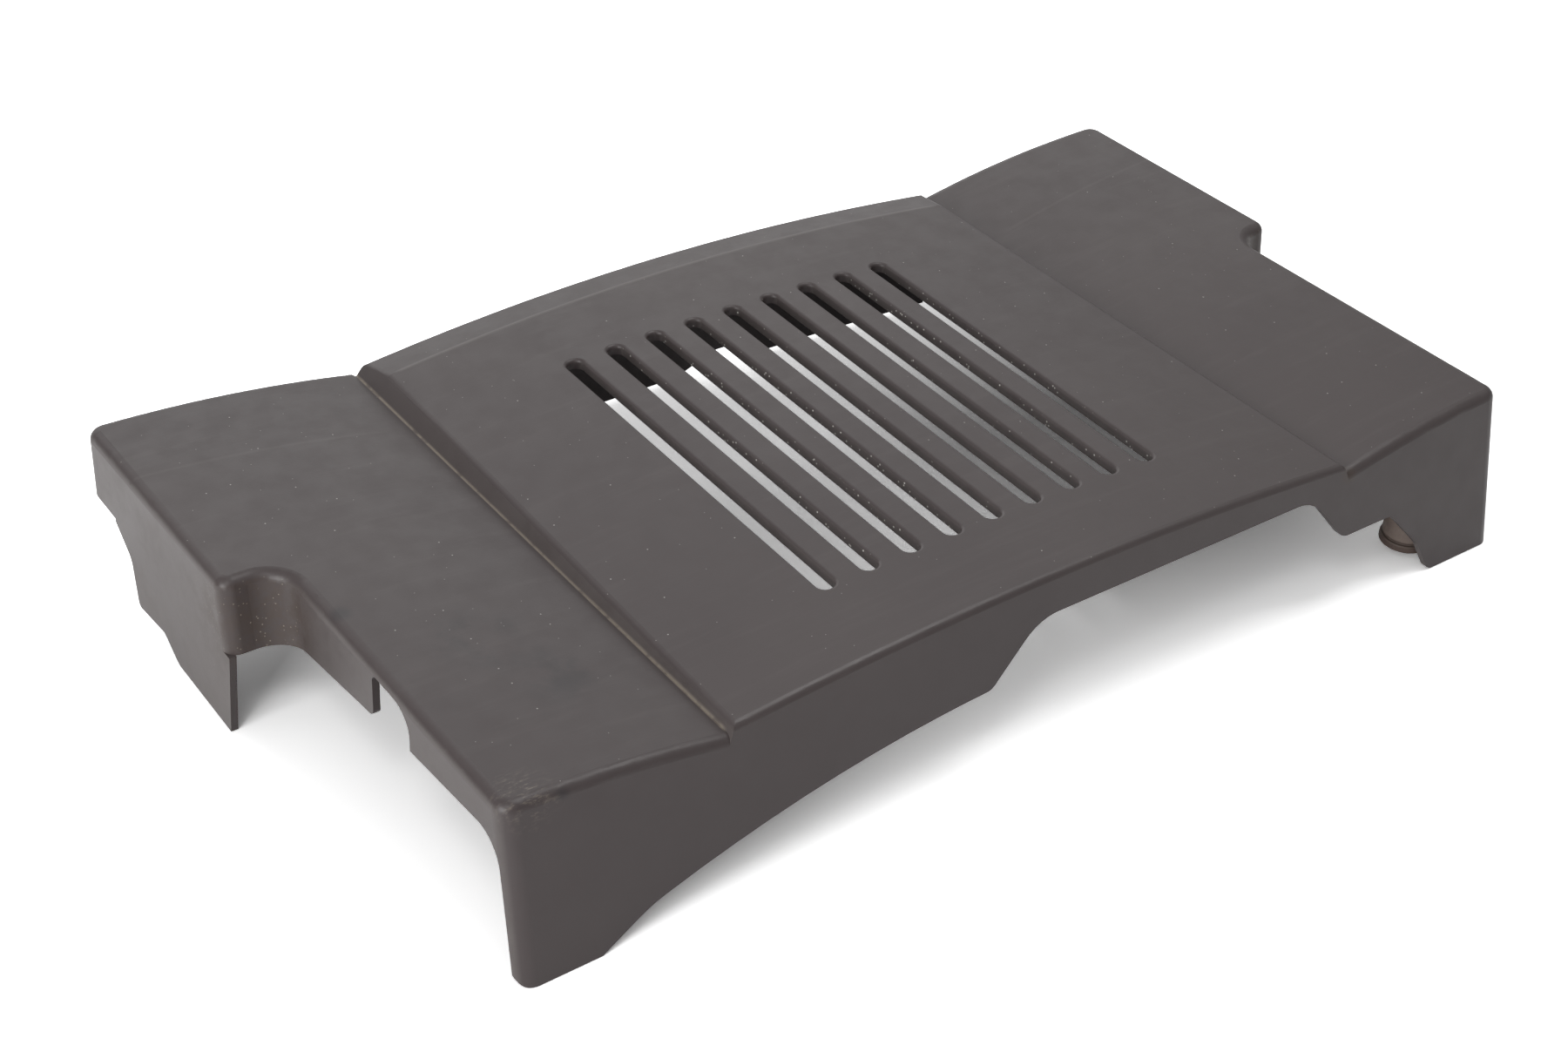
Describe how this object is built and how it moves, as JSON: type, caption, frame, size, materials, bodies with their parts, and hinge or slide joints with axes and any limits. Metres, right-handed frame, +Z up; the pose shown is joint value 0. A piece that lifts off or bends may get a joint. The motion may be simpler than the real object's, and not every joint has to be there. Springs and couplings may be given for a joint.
{
  "type": "engine cover",
  "caption": "Charcoal plastic engine cover with a raised crowned panel of long air slots, domed wings, cut-away skirts and rubber mounts that press onto ball studs.",
  "frame": {"origin": "middle of the floor under the cover's bounding box", "axes": "+X along the cover, +Y towards its back edge, +Z up out of the slotted panel"},
  "size_m": [0.55, 0.3055, 0.0745],
  "materials": {
    "cover_plastic": "fine matte grain, dusty",
    "mount_rubber": "dull, dusty"
  },
  "bodies": {
    "root": {"cover": "cover_plastic", "mount_front_left": "mount_rubber", "mount_front_right": "mount_rubber", "mount_rear_left": "mount_rubber", "mount_rear_right": "mount_rubber"}
  },
  "joints": []
}
